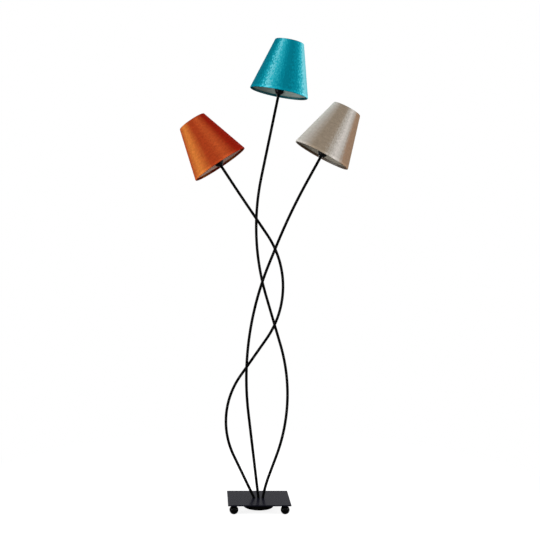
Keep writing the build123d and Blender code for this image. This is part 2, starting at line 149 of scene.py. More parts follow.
studio = bpy.data.worlds.new("white_studio")
bpy.context.scene.world = studio
studio.use_nodes = True
tree = studio.node_tree
tree.nodes.clear()
path = add(tree, "ShaderNodeLightPath")
seen = path.outputs["Is Camera Ray"]
for ray in ("Is Glossy Ray", "Is Transmission Ray"):
    seen = add(tree, "ShaderNodeMath", links={0: seen, 1: path.outputs[ray]}, operation="MAXIMUM").outputs[0]
soft = add(tree, "ShaderNodeBackground", {"Color": linear("#ffffff"), "Strength": AMBIENT})
white = add(tree, "ShaderNodeBackground", {"Color": linear("#ffffff"), "Strength": 1.0})
mixed = add(tree, "ShaderNodeMixShader", links={0: seen, 1: soft.outputs[0], 2: white.outputs[0]})
add(tree, "ShaderNodeOutputWorld", links={"Surface": mixed.outputs[0]})

paper, tree = empty_material("white_backdrop_paper")
path = add(tree, "ShaderNodeLightPath")
place = add(tree, "ShaderNodeTexCoord")
lift = add(tree, "ShaderNodeMath", {1: FLOOR_LIFT}, {0: path.outputs["Is Camera Ray"]}, operation="MULTIPLY")
glow = add(tree, "ShaderNodeEmission", {"Color": linear("#ffffff")}, {"Strength": lift.outputs[0]})
sheet = add(tree, "ShaderNodeBsdfDiffuse", {"Color": linear("#a4a4a4")})
lit = add(tree, "ShaderNodeAddShader", links={0: sheet.outputs[0], 1: glow.outputs[0]})
distance = add(tree, "ShaderNodeVectorMath", links={0: place.outputs["Object"]}, operation="LENGTH")
fade = add(
    tree,
    "ShaderNodeMapRange",
    {"From Min": SHADOW_REACH[0], "From Max": SHADOW_REACH[1]},
    {"Value": distance.outputs["Value"]},
    interpolation_type="SMOOTHSTEP",
)
far_and_seen = {0: fade.outputs[0], 1: path.outputs["Is Camera Ray"]}
far = add(tree, "ShaderNodeMath", links=far_and_seen, operation="MULTIPLY")
blank = add(tree, "ShaderNodeEmission", {"Color": linear("#ffffff"), "Strength": 1.0})
both = add(tree, "ShaderNodeMixShader", links={0: far.outputs[0], 1: lit.outputs[0], 2: blank.outputs[0]})
add(tree, "ShaderNodeOutputMaterial", links={"Surface": both.outputs[0]})

floor_mesh = bpy.data.meshes.new("floor")
shape = bmesh.new()
bmesh.ops.create_circle(shape, cap_ends=True, segments=FLOOR_SIDES, radius=FLOOR_RADIUS)
shape.to_mesh(floor_mesh)
shape.free()
floor = bpy.data.objects.new("floor", floor_mesh)
floor_mesh.materials.append(paper)
bpy.context.scene.collection.objects.link(floor)
floor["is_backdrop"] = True
print("floor radius:", FLOOR_RADIUS, "m")

# %% Soft boxes
SOFT_BOXES = {
    "left_soft_box": ((-2.3, -1.2, 0.6), (0.6, 1.1), 30),
    "right_soft_box": ((2.4, -0.7, 1.4), (0.6, 2.0), 29),
    "overhead_soft_box": ((0.0, -1.8, 3.4), (2.4, 1.6), 35),
    "rear_soft_box": ((0.0, 2.4, 2.6), (2.4, 1.2), 20),
}
AIM = Vector((0.0, 0.0, 1.0))

for name, (place, size, watts) in SOFT_BOXES.items():
    light = bpy.data.lights.new(name, "AREA")
    light.shape = "RECTANGLE"
    light.size, light.size_y = size
    light.energy = watts
    box = bpy.data.objects.new(name, light)
    box.location = place
    box.rotation_euler = (AIM - Vector(place)).to_track_quat("-Z", "Y").to_euler()
    bpy.context.scene.collection.objects.link(box)
print("soft boxes:", len(SOFT_BOXES))

# %% [markdown]
# ## Hard finishes
# Paint, moulded plastic and plated metal differ in colour, gloss and the size of the grain in their surface:
# the orange peel of a powder coat, the skin of a moulding, the fine grain of a plating. One function builds
# them all from those few facts. The grain moves the tone and the gloss a little and stands up as a fine bump,
# because a perfectly even surface looks like none of them.

# %% Hard finishes
PATCH_GRAINS = 40  # the tone drifts over patches this many grains wide
GRAIN_DETAIL = 3.0
PATCH_DETAIL = 2.0
GRAIN_STRENGTH = 0.5


def hard_finish(name, colour, roughness, grain_mm, bump_mm, specular=0.5, metallic=0.0, spread=0.12):
    """Material whose tone and gloss vary with a grain of a real size."""
    material, tree = empty_material(name)
    place = {"Vector": add(tree, "ShaderNodeTexCoord").outputs["Object"]}
    fine = {"Scale": 1 / (grain_mm * MM), "Detail": GRAIN_DETAIL}
    grain = add(tree, "ShaderNodeTexNoise", fine, place)
    coarse = {"Scale": 1 / (PATCH_GRAINS * grain_mm * MM), "Detail": PATCH_DETAIL}
    broad = add(tree, "ShaderNodeTexNoise", coarse, place)
    dark, light = [tuple(c * k for c in linear(colour)[:3]) + (1.0,) for k in (1 - spread, 1 + spread)]
    tone = add(tree, "ShaderNodeMix", {6: dark, 7: light}, {0: broad.outputs["Fac"]}, data_type="RGBA")
    gloss = add(
        tree,
        "ShaderNodeMapRange",
        {"To Min": roughness * (1 - spread), "To Max": roughness * (1 + spread)},
        {"Value": grain.outputs["Fac"]},
    )
    relief = {"Strength": GRAIN_STRENGTH, "Distance": bump_mm * MM}
    bump = add(tree, "ShaderNodeBump", relief, {"Height": grain.outputs["Fac"]})
    surface = add(
        tree,
        "ShaderNodeBsdfPrincipled",
        {"Metallic": metallic, "Specular IOR Level": specular},
        {"Base Color": tone.outputs[2], "Roughness": gloss.outputs[0], "Normal": bump.outputs[0]},
    )
    add(tree, "ShaderNodeOutputMaterial", links={"Surface": surface.outputs[0]})
    return material


FINISHES = {
    "black_powder_coat": hard_finish("semi_gloss_powder_coat", "#15151f", 0.27, 0.9, 0.002, specular=0.016),
    "black_lacquer": hard_finish("gloss_black_lacquer", "#040404", 0.2, 1.5, 0.003, specular=0.05),
    "black_cast_iron": hard_finish("painted_cast_iron", "#080808", 0.6, 1.2, 0.08, specular=0.05),
    "zinc_plated_steel": hard_finish("zinc_plated_steel", "#b9bbbd", 0.32, 0.6, 0.01, metallic=1.0),
    "black_phenolic": hard_finish("moulded_phenolic", "#08090c", 0.34, 0.8, 0.01, specular=0.08),
    "grey_phenolic": hard_finish("grey_moulded_phenolic", "#6e6e6e", 0.6, 0.8, 0.02),
    "brass": hard_finish("stamped_brass", "#c8a050", 0.3, 0.7, 0.01, metallic=1.0),
    "nickel_plated_cap": hard_finish("nickel_plated_cap", "#c6c5c2", 0.24, 0.5, 0.01, metallic=1.0),
    "white_painted_wire": hard_finish("white_epoxy_paint", "#d8d6d0", 0.45, 0.8, 0.02),
    "pvc_cable": hard_finish("pvc_sheath", "#1a1a1a", 0.5, 0.8, 0.02),
    "white_polyamide": hard_finish("white_polyamide", "#dcdad4", 0.5, 0.8, 0.02),
    "black_rubber": hard_finish("black_rubber", "#121212", 0.7, 0.8, 0.03, specular=0.3),
    "opal_glass": hard_finish("frosted_opal_glass", "#ece9e2", 0.35, 0.5, 0.004, spread=0.03),
}
FINISHES["tube_paint"] = hard_finish("satin_black_tube_paint", "#050505", 0.35, 0.9, 0.01, specular=0.03)
for node in frame["record"]["subparts"]:
    finish = FINISHES.get(node["material_slot"])
    if finish:
        mesh = frame["nodes"][node["node"]].data
        mesh.materials.clear()
        mesh.materials.append(finish)
print("hard finishes:", len(FINISHES))

# %% [markdown]
# ## Velvet
# Velvet is a cloth of short upright fibres. The long bands of bright and dark along the cone's slope are
# painted highlight and painted shade in the cloth's colour, laid around the cone and turning with it. Each
# fabric here has a few tones of its one dye: a painted shade tone, its body, a half-bright painted highlight
# and a full painted highlight, and in beige a pale painted highlight at the edge of a band. A ramp around
# the cone lays the bands out, noise drawn along the slope breaks them up, and a finer noise gives the
# mottling of crushed velvet. Thin lines across the slope are the weft of the ground cloth.
# A per-point attribute is painted light on the folds: it darkens the cloth as painted shade where it is
# folded in and brightens it as a painted highlight on the lower rim's roll.

# %% Velvet material
STROKE_MM = (5.0, 60.0)
WEFT_MM = (13.0, 3.0)  # the real threads are too fine to show, so they are drawn several times as coarse
PILE_MM = (1.6, 1.6)
PILE_DEPTH_MM = 0.3
PILE_STRENGTH = 0.3
SHADE_GIRTH_MM = 468.0  # halfway up the cone
SHADE_SLANT_MM = 183.0
GRAIN_ROUGHNESS = 0.6
NOISE_SPAN = {"From Min": 0.3, "From Max": 0.7}  # most of a noise's values lie in here


def velvet(name, tones, painted_bands, wander, crush_mm, crush, mottle, weft):
    """Velvet whose painted highlight and shade bands are laid out around the cone, from its own UV map."""
    material, tree = empty_material(name)
    cloth = add(tree, "ShaderNodeUVMap", uv_map="nap").outputs[0]
    turn = add(tree, "ShaderNodeSeparateXYZ", links={0: cloth})
    grains = {}
    sizes = {
        "stroke": (STROKE_MM, 4),
        "crush": ((crush_mm, crush_mm), 3),
        "weft": (WEFT_MM, 1),
        "fibre": (PILE_MM, 2),
    }
    for grain, ((wide, long), detail) in sizes.items():
        scale = (SHADE_GIRTH_MM / wide, SHADE_SLANT_MM / long, 1)
        laid = add(tree, "ShaderNodeMapping", {"Scale": scale}, {"Vector": cloth})
        look = {"Scale": 1.0, "Detail": detail, "Roughness": GRAIN_ROUGHNESS}
        grains[grain] = add(tree, "ShaderNodeTexNoise", look, {"Vector": laid.outputs[0]}).outputs["Fac"]
    moved = turn.outputs["X"]
    for grain, reach in (("stroke", wander), ("crush", crush)):
        span = {**NOISE_SPAN, "To Min": -reach, "To Max": reach}
        shift = add(tree, "ShaderNodeMapRange", span, {"Value": grains[grain]})
        moved = add(tree, "ShaderNodeMath", links={0: moved, 1: shift.outputs[0]}, operation="ADD").outputs[0]
    ramp = add(tree, "ShaderNodeValToRGB", links={0: moved})
    stops = ramp.color_ramp.elements
    while len(stops) < len(painted_bands):
        stops.new(0.5)
    for stop, (turns, tone) in zip(stops, painted_bands):
        stop.position = turns
        stop.color = linear(tones[tone])
    dyed = ramp.outputs["Color"]
    dimmers = []
    for grain, depth in (("crush", mottle), ("weft", weft)):
        span = {**NOISE_SPAN, "To Min": 1 - depth, "To Max": 1 + depth}
        dimmers.append(add(tree, "ShaderNodeMapRange", span, {"Value": grains[grain]}).outputs[0])
    # the mesh's per-point attribute is painted shade and highlight on the folds
    dimmers.append(add(tree, "ShaderNodeAttribute", attribute_name="painted_shade_and_highlight").outputs["Fac"])
    for dimmer in dimmers:
        dyed = add(tree, "ShaderNodeVectorMath", links={0: dyed, 1: dimmer}, operation="MULTIPLY").outputs[0]
    relief = {"Strength": PILE_STRENGTH, "Distance": PILE_DEPTH_MM * MM}
    bump = add(tree, "ShaderNodeBump", relief, {"Height": grains["fibre"]})
    surface = add(
        tree,
        "ShaderNodeBsdfPrincipled",
        {
            "Roughness": 0.8,
            "Specular IOR Level": 0.01,
            "Sheen Weight": 0.012,
            "Sheen Roughness": 0.4,
            "Sheen Tint": linear(tones["painted_highlight"]),
        },
        {"Base Color": dyed, "Normal": bump.outputs[0]},
    )
    add(tree, "ShaderNodeOutputMaterial", links={"Surface": surface.outputs[0]})
    return material


# In each fabric one tone is the dye itself and the others are painted shade and painted highlight, laid in bands.
VELVETS = {
    "left": velvet(
        "orange_velvet",
        {"shadow": "#8e1b0c", "body": "#a63d1b", "glow": "#b84f25", "painted_highlight": "#db7f38"},
        [(0.0, "shadow"), (0.06, "body"), (0.11, "painted_highlight"), (0.16, "body"), (0.2, "shadow")]
        + [(0.285, "glow"), (0.376, "painted_highlight"), (0.455, "body"), (0.492, "body"), (0.545, "glow")]
        + [(0.624, "shadow"), (0.74, "shadow"), (0.8, "glow"), (0.86, "body"), (0.92, "painted_highlight")]
        + [(0.96, "body"), (1.0, "shadow")],
        wander=0.008, crush_mm=3.5, crush=0.012, mottle=0.12, weft=0.11,
    ),
    "top": velvet(
        "teal_velvet",
        {"shadow": "#027486", "body": "#06899c", "glow": "#2cb2c3", "painted_highlight": "#7ad2de"},
        [(0.0, "body"), (0.12, "painted_highlight"), (0.22, "shadow"), (0.34, "shadow"), (0.376, "body")]
        + [(0.404, "glow"), (0.413, "painted_highlight"), (0.436, "glow"), (0.48, "body"), (0.508, "shadow")]
        + [(0.54, "shadow"), (0.594, "body"), (0.627, "glow"), (0.653, "painted_highlight"), (0.69, "painted_highlight")]
        + [(0.73, "glow"), (0.8, "shadow"), (0.9, "painted_highlight"), (1.0, "body")],
        wander=0.008, crush_mm=4.0, crush=0.03, mottle=0.13, weft=0.03,
    ),
    "right": velvet(
        "beige_velvet",
        {"shadow": "#997d66", "body": "#8f8170", "glow": "#b9b3ab", "painted_highlight": "#d1cac3", "edge": "#c9c8bf"},
        [(0.0, "shadow"), (0.13, "shadow"), (0.24, "painted_highlight"), (0.3, "edge"), (0.345, "glow")]
        + [(0.42, "body"), (0.488, "body"), (0.532, "glow"), (0.553, "painted_highlight"), (0.577, "glow")]
        + [(0.617, "shadow"), (0.78, "shadow"), (0.9, "painted_highlight"), (1.0, "shadow")],
        wander=0.008, crush_mm=3.5, crush=0.012, mottle=0.09, weft=0.08,
    ),
}
print("velvets:", list(VELVETS))

# %% [markdown]
# ## Turning
# Feet, lampholder caps, bulbs, linings and shades are all bodies of revolution, like pots on a wheel.
# One function turns an outline about an axis and gives the mesh a UV map: once around is 0 to 1 across, and
# along the outline is 0 to 1 up. The cut lies at the back, where a real shade has its seam. Edges sharper
# than a set angle stay crisp and the rest is shaded smooth.

# %% Turned meshes
SHARP_DEG = 32.0
BACK = math.radians(90)  # the Y side of a place, where the cut and the seam lie


def piece(name, mesh, body, nodes=(), material=None):
    """Object for a finished mesh that rides on a body and stands for CAD nodes."""
    made = bpy.data.objects.new(name, mesh)
    bpy.context.scene.collection.objects.link(made)
    if material:
        mesh.materials.clear()
        mesh.materials.append(material)
    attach(made, body)
    if nodes:
        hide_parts(*nodes)
    return made


def turned(name, outline, place, segments, tones=None):
    """Closed mesh turned about the Z axis of a place from (radius, height) pairs in millimetres."""
    shape = bmesh.new()
    nap = shape.loops.layers.uv.new("nap")
    # per-point tones: painted shade and highlight that the velvet multiplies into its colour
    painted_shade_and_highlight = shape.verts.layers.float.new("painted_shade_and_highlight")
    rows = []
    for line, (radius, height) in enumerate(outline):
        count = segments if radius > 0 else 1
        row = []
        for step in range(count):
            angle = BACK + 2 * math.pi * step / segments
            point = Vector((radius * math.cos(angle), radius * math.sin(angle), height)) * MM
            row.append(shape.verts.new(place @ point))
            row[-1][painted_shade_and_highlight] = tones[line] if tones else 1.0
        rows.append(row)
    lengths = [math.dist(a, b) for a, b in zip(outline, outline[1:] + outline[:1])]
    run = [sum(lengths[:i]) / sum(lengths) for i in range(len(outline) + 1)]
    for i, low in enumerate(rows):
        high = rows[(i + 1) % len(rows)]
        if len(low) == 1 and len(high) == 1:
            continue
        for step in range(segments):
            after = step + 1
            corners = [(low[step % len(low)], step, i), (low[after % len(low)], after, i)]
            corners += [(high[after % len(high)], after, i + 1), (high[step % len(high)], step, i + 1)]
            corners = [c for k, c in enumerate(corners) if c[0] not in [other[0] for other in corners[:k]]]
            face = shape.faces.new([c[0] for c in corners])
            face.smooth = True
            for loop, (_, column, line) in zip(face.loops, corners):
                loop[nap].uv = (column / segments, run[line])
    bmesh.ops.recalc_face_normals(shape, faces=shape.faces)
    mesh = bpy.data.meshes.new(name)
    shape.to_mesh(mesh)
    shape.free()
    mesh.set_sharp_from_angle(angle=math.radians(SHARP_DEG))
    return mesh


def arc(centre, radius, start_deg, end_deg, steps):
    """Points of an arc in an outline."""
    turns = [math.radians(start_deg + (end_deg - start_deg) * i / steps) for i in range(steps + 1)]
    return [(centre[0] + radius * math.cos(a), centre[1] + radius * math.sin(a)) for a in turns]


print("sharp edges over", SHARP_DEG, "degrees")

# %% [markdown]
# ## Ball feet
# The plate stands on four lacquered balls, each with a short neck and a small flat where it rests.
# A turned outline gives the flat, the ball, the hollow where the neck starts and the neck in one skin.

# %% Ball feet
FOOT_RADIUS = 15.0
FOOT_REST_RADIUS = 4.0
NECK_RADIUS = 6.0
NECK_FILLET = 0.8
NECK_CUT_DEG = 1.5  # the ball stops this much short of the neck, where the hollow starts
BALL_STEPS = 40
FOOT_SIDES = 64

foot_centre = math.sqrt(FOOT_RADIUS**2 - FOOT_REST_RADIUS**2)
for row in ("front", "rear"):
    for column in ("left", "right"):
        node = f"foot_{row}_{column}"
        low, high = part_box(node)
        place = Matrix.Translation(((low.x + high.x) / 2, (low.y + high.y) / 2, 0))
        neck_top = high.z / MM
        rest = -math.degrees(math.acos(FOOT_REST_RADIUS / FOOT_RADIUS))
        neck = math.degrees(math.acos(NECK_RADIUS / FOOT_RADIUS))
        outline = [(0, 0)] + arc((0, foot_centre), FOOT_RADIUS, rest, neck - NECK_CUT_DEG, BALL_STEPS)
        outline += [(NECK_RADIUS, foot_centre + FOOT_RADIUS * math.sin(math.radians(neck)) + NECK_FILLET)]
        outline += [(NECK_RADIUS, neck_top), (0, neck_top)]
        mesh = turned(f"{node}_ball", outline, place, FOOT_SIDES)
        piece(f"{node}_ball", mesh, "stand", [node], FINISHES["black_lacquer"])
print("ball feet: 4")

# %% [markdown]
# ## Places and growing
# Everything above the tubes sits on the axis of its lampholder, so one function gives that axis as a frame,
# taken from the joint the shade turns on. Three more start a tree of geometry nodes with named inputs, end it
# with its finish, and turn what it grows into a plain mesh, which is what the rest of the work needs.

# %% Frames and node groups
def lamp_place(lamp):
    """Frame of a lampholder: Z along its axis, zero at the shade's lower rim, Y to the back."""
    joint = next(j for j in frame["joints"] if j["name"] == f"{lamp}_shade_turn")
    axis = Vector(joint["axis"]).normalized()
    across = Vector((axis.z, 0, -axis.x)).normalized()
    turn = Matrix((across, axis.cross(across), axis)).transposed().to_4x4()
    return Matrix.Translation(Vector(joint["pos_m"])) @ turn


def node_group(name, **inputs):
    """Geometry node tree with a mesh in, a mesh out and named inputs."""
    tree = bpy.data.node_groups.new(name, "GeometryNodeTree")
    tree.interface.new_socket("Mesh", in_out="INPUT", socket_type="NodeSocketGeometry")
    for label, kind in inputs.items():
        tree.interface.new_socket(label, in_out="INPUT", socket_type=f"NodeSocket{kind}")
    tree.interface.new_socket("Mesh", in_out="OUTPUT", socket_type="NodeSocketGeometry")
    return tree, add(tree, "NodeGroupInput").outputs


def close_group(tree, geometry, finish):
    """Ends a tree: what it grew is made real, given its finish and handed out."""
    real = add(tree, "GeometryNodeRealizeInstances", links={0: geometry})
    coated = add(tree, "GeometryNodeSetMaterial", links={"Geometry": real.outputs[0], "Material": finish})
    add(tree, "NodeGroupOutput", links={0: coated.outputs[0]})


def grown(name, base, tree, **inputs):
    """Plain mesh that a tree makes of a base mesh with these inputs."""
    seed = bpy.data.objects.new(f"{name}_seed", base)
    nodes = seed.modifiers.new("grow", "NODES")
    nodes.node_group = tree
    for item in tree.interface.items_tree:
        if item.in_out == "INPUT" and item.name in inputs:
            nodes[item.identifier] = inputs[item.name]
    bpy.context.scene.collection.objects.link(seed)
    ready = seed.evaluated_get(bpy.context.evaluated_depsgraph_get())
    mesh = bpy.data.meshes.new_from_object(ready)
    mesh.name = name
    bpy.data.objects.remove(seed)
    mesh.set_sharp_from_angle(angle=math.radians(SHARP_DEG))
    return mesh


LAMPS = ("left", "right", "top")
for lamp in LAMPS:
    print(lamp, "rim:", [round(c, 3) for c in lamp_place(lamp).translation])

# %% [markdown]
# ## Bars that follow a line
# A tube or a wire is a circle moved along a line of straight runs and arcs, which is also how it is made:
# a straight length is bent on formers. The tree takes corner points and the radius of the bend at each one,
# fillets the corners and sweeps a circle along the result. A change of one corner then bends the bar anew.

# %% Tree for bent bars
bar_tree, given = node_group("bar_along_bends", Radius="Float", Steps="Int", Sides="Int", Finish="Material")
bend = add(bar_tree, "GeometryNodeInputNamedAttribute", {"Name": "bend_radius"}, data_type="FLOAT")
line = add(bar_tree, "GeometryNodeMeshToCurve", links={"Mesh": given["Mesh"]})
corner = {"Curve": line.outputs[0], "Radius": bend.outputs[0], "Count": given["Steps"]}
bent = add(bar_tree, "GeometryNodeFilletCurve", links=corner, mode="POLY")
section = {"Radius": given["Radius"], "Resolution": given["Sides"]}
ring = add(bar_tree, "GeometryNodeCurvePrimitiveCircle", links=section)
swept = {"Curve": bent.outputs[0], "Profile Curve": ring.outputs[0]}
skin = add(bar_tree, "GeometryNodeCurveToMesh", {"Fill Caps": True}, swept)
smooth = add(bar_tree, "GeometryNodeSetShadeSmooth", links={0: skin.outputs[0]})
close_group(bar_tree, smooth.outputs[0], given["Finish"])


def bar(name, runs, radius_mm, steps, sides, finish):
    """Round bars along runs, each a list of (corner, bend radius in mm) and whether it closes."""
    points, edges, radii = [], [], []
    for corners, closed in runs:
        first, last = len(points), len(points) + len(corners) - 1
        points += [corner for corner, _ in corners]
        radii += [radius * MM for _, radius in corners]
        edges += [(i, i + 1) for i in range(first, last)] + ([(last, first)] if closed else [])
    base = bpy.data.meshes.new(f"{name}_line")
    base.from_pydata(points, edges, [])
    base.attributes.new("bend_radius", "FLOAT", "POINT").data.foreach_set("value", radii)
    return grown(name, base, bar_tree, Radius=radius_mm * MM, Steps=steps, Sides=sides, Finish=finish)


print("nodes in the bar tree:", len(bar_tree.nodes))

# %% [markdown]
# ## Bent tubes
# The three tubes stand at their own slant on the plate, held from below by a threaded end and a nut, and
# weave past each other: the left one swings out, crosses both others and comes back. Each starts a little
# under the plate's top, so that the plate cuts its foot off flush.

# %% Tubes
TUBE_RADIUS_MM = 4.75
TUBE_SUNK_MM = 3.5
TUBE_STEPS = 28
TUBE_SIDES = 24
HOLDER_DROP_MM = 4.0
TUBE_BENDS = {
    "left": (-15.0, [(-154.5, 0.0, 327.5, 275.0), (149.0, 0.0, 762.5, 314.0), (-70.0, 4.0, 1084.0, 2000.0)]),
    "right": (0.0, [(-67.5, -14.0, 596.5, 1040.0), (103.0, -24.4, 1018.5, 2000.0)]),
    "top": (15.0, [(23.5, 1.0, 78.0, 450.0), (132.0, 7.5, 370.5, 612.0), (-34.5, 18.5, 932.5, 835.0)]),
}

plate_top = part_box("base_plate")[1].z
tube_paint = FINISHES["tube_paint"]
for lamp, (hole, bends) in TUBE_BENDS.items():
    foot = Vector((hole * MM, 0, plate_top))
    corners = [(Vector(b[:3]) * MM, b[3]) for b in bends]
    sunk = foot - (corners[0][0] - foot).normalized() * TUBE_SUNK_MM * MM
    end = lamp_place(lamp) @ Vector((0, 0, -HOLDER_DROP_MM * MM))
    run = [(sunk, 0)] + corners + [(end, 0)]
    mesh = bar(f"{lamp}_bent_tube", [(run, False)], TUBE_RADIUS_MM, TUBE_STEPS, TUBE_SIDES, tube_paint)
    piece(f"{lamp}_bent_tube", mesh, "stand", [f"{lamp}_tube"])
    print(lamp, "tube:", len(mesh.polygons), "faces")

# %% [markdown]
# ## Lampholders
# The black cup at the end of each tube is a moulding turned from one outline: a flat that sits on the tube's
# shoulder, a dome and a short straight wall. A threaded sleeve screws into it and carries the shade. Its
# thread is a ridge that climbs evenly, so a second tree winds a spiral around the sleeve.

# %% Cups
CAP_RADIUS = 16.5
CAP_FLAT_RADIUS = 8.5
CAP_DOME = 16.0
CAP_HEIGHT = 24.0
CAP_EDGE = 0.8
DOME_STEPS = 20
EDGE_STEPS = 5
HOLDER_SIDES = 72

across = CAP_RADIUS - CAP_FLAT_RADIUS
dome_radius = (across**2 + CAP_DOME**2) / (2 * across)
dome_centre = (CAP_RADIUS - dome_radius, CAP_DOME - HOLDER_DROP_MM)
dome_start = -math.degrees(math.asin(CAP_DOME / dome_radius))
cap_outline = [(0, -HOLDER_DROP_MM)] + arc(dome_centre, dome_radius, dome_start, 0, DOME_STEPS)
cap_top = CAP_HEIGHT - HOLDER_DROP_MM
cap_outline += arc((CAP_RADIUS - CAP_EDGE, cap_top - CAP_EDGE), CAP_EDGE, 0, 90, EDGE_STEPS)
cap_outline += [(0, cap_top)]
for lamp in LAMPS:
    mesh = turned(f"{lamp}_cup", cap_outline, lamp_place(lamp), HOLDER_SIDES)
    piece(f"{lamp}_cup", mesh, "stand", [f"{lamp}_holder_cap"], FINISHES["black_phenolic"])
print("cups: 3, dome radius", round(dome_radius, 1), "mm")

# %% Threaded sleeves
SLEEVE_RADIUS = 13.9
SLEEVE_CORE = 13.45
SLEEVE_BORE = 12.0
SLEEVE_LIP_BORE = 7.6
SLEEVE_BOTTOM = 10.0
SLEEVE_TOP = 50.0
SLEEVE_LIP = 2.0
THREAD_START = 31.0
THREAD_PITCH = 2.5
THREAD_TURNS = 6.5
THREAD_STEPS = 48
RIDGE_SIDES = 8

measures = {label: "Float" for label in ("Radius", "Ridge", "Start", "Pitch", "Turns")}
thread_tree, given = node_group("screw_thread", **measures, Finish="Material")
climb = add(thread_tree, "ShaderNodeMath", links={0: given["Pitch"], 1: given["Turns"]}, operation="MULTIPLY")
spiral = add(
    thread_tree,
    "GeometryNodeCurveSpiral",
    {"Resolution": THREAD_STEPS},
    {
        "Rotations": given["Turns"],
        "Start Radius": given["Radius"],
        "End Radius": given["Radius"],
        "Height": climb.outputs[0],
    },
)
lift = add(thread_tree, "ShaderNodeCombineXYZ", links={"Z": given["Start"]})
moved = {"Geometry": spiral.outputs[0], "Translation": lift.outputs[0]}
raised = add(thread_tree, "GeometryNodeTransform", links=moved)
section = {"Radius": given["Ridge"]}
ring = add(thread_tree, "GeometryNodeCurvePrimitiveCircle", {"Resolution": RIDGE_SIDES}, section)
swept = {"Curve": raised.outputs[0], "Profile Curve": ring.outputs[0]}
skin = add(thread_tree, "GeometryNodeCurveToMesh", {"Fill Caps": True}, swept)
smooth = add(thread_tree, "GeometryNodeSetShadeSmooth", links={0: skin.outputs[0]})
both = add(thread_tree, "GeometryNodeJoinGeometry", links={0: smooth.outputs[0]})
thread_tree.links.new(given["Mesh"], both.inputs[0])
close_group(thread_tree, both.outputs[0], given["Finish"])

shoulder = THREAD_START - THREAD_PITCH / 2
lip = SLEEVE_TOP - SLEEVE_LIP
sleeve_outline = [(SLEEVE_BORE, SLEEVE_BOTTOM), (SLEEVE_RADIUS, SLEEVE_BOTTOM), (SLEEVE_RADIUS, shoulder)]
sleeve_outline += [(SLEEVE_CORE, shoulder), (SLEEVE_CORE, SLEEVE_TOP), (SLEEVE_LIP_BORE, SLEEVE_TOP)]
sleeve_outline += [(SLEEVE_LIP_BORE, lip), (SLEEVE_BORE, lip)]
thread = {
    "Radius": SLEEVE_CORE * MM,
    "Ridge": (SLEEVE_RADIUS - SLEEVE_CORE) * MM,
    "Start": THREAD_START * MM,
    "Pitch": THREAD_PITCH * MM,
    "Turns": THREAD_TURNS,
    "Finish": FINISHES["black_phenolic"],
}
for lamp in LAMPS:
    core = turned(f"{lamp}_sleeve_core", sleeve_outline, Matrix(), HOLDER_SIDES)
    mesh = grown(f"{lamp}_sleeve", core, thread_tree, **thread)
    mesh.transform(lamp_place(lamp))
    piece(f"{lamp}_sleeve", mesh, "stand", [f"{lamp}_holder_skirt"])
    print(lamp, "sleeve:", len(mesh.polygons), "faces")

# %% [markdown]
# ## Bulbs
# Each lampholder has a small round opal bulb. The glass is blown, so its neck runs smoothly into the ball,
# and the frosting makes it an even white that hides the cap's inside.

# %% Bulbs
BULB_RADIUS = 22.5
BULB_NECK_RADIUS = 6.85
BULB_BOTTOM = 51.9
BULB_CENTRE = 82.9
BULB_STEPS = 36

drop = BULB_CENTRE - BULB_BOTTOM
join = math.atan2(BULB_NECK_RADIUS, drop) + math.acos(BULB_RADIUS / math.hypot(BULB_NECK_RADIUS, drop))
bulb_outline = [(0, BULB_BOTTOM), (BULB_NECK_RADIUS, BULB_BOTTOM)]
bulb_outline += arc((0, BULB_CENTRE), BULB_RADIUS, math.degrees(join) - 90, 90, BULB_STEPS)[:-1]
bulb_outline += [(0, BULB_CENTRE + BULB_RADIUS)]
opal = FINISHES["opal_glass"]
for lamp in LAMPS:
    mesh = turned(f"{lamp}_opal_glass", bulb_outline, lamp_place(lamp), HOLDER_SIDES)
    piece(f"{lamp}_opal_glass", mesh, f"{lamp}_bulb", [f"{lamp}_bulb_glass"], opal)
print("bulbs: 3, neck joins the ball at", round(math.degrees(join), 1), "degrees")

# %% [markdown]
# ## Shades
# A laminated shade is velvet glued to a stiff lining, rolled into a cone and folded in over a wire ring at
# each rim. The outline of that folded cloth, turned once around, gives the slope, the round rims and the hem
# inside in one skin. A painted highlight brightens the lower rim's roll, and painted shade darkens the upper
# roll and the hem inside. The lining is a thin white sheet, greyed here as painted shade inside the cone and
# tinted in its cloth's colour as painted light, each lining its own.

# %% Shade outline
SHADE_RADIUS = 100.0
SHADE_TOP_RADIUS = 49.0
SHADE_HEIGHT = 176.0
CLOTH = 1.0
LINING = 0.6
GAP = 0.05
FOLD = 2.6
HEM = 8.0
SLOPE_ROWS = 24
FOLD_STEPS = 10
SHADE_SIDES = 160
# Painted light on the folds: highlight on the lower roll, shade on the upper roll and on the hem inside
LIP_PAINTED_HIGHLIGHT = 1.35
TOP_PAINTED_SHADE = 0.6
HEM_PAINTED_SHADE = {"left": 0.55, "right": 0.45, "top": 0.32}

run_in = SHADE_RADIUS - SHADE_TOP_RADIUS
slant = math.hypot(run_in, SHADE_HEIGHT)


def slope(along, depth):
    """Outline point at a distance up the slope and a depth inside the outer face."""
    radius = SHADE_RADIUS - along * run_in / slant - depth * SHADE_HEIGHT / slant
    return (radius, along * SHADE_HEIGHT / slant - depth * run_in / slant)


def fold(start, side, size):
    """Half turn of cloth round a rim's wire, from outside in; side is +1 at the top, -1 at the bottom."""
    turns = [math.pi * i / FOLD_STEPS for i in range(FOLD_STEPS + 1)]
    return [slope(start + side * size * math.sin(a), FOLD - size * math.cos(a)) for a in turns]


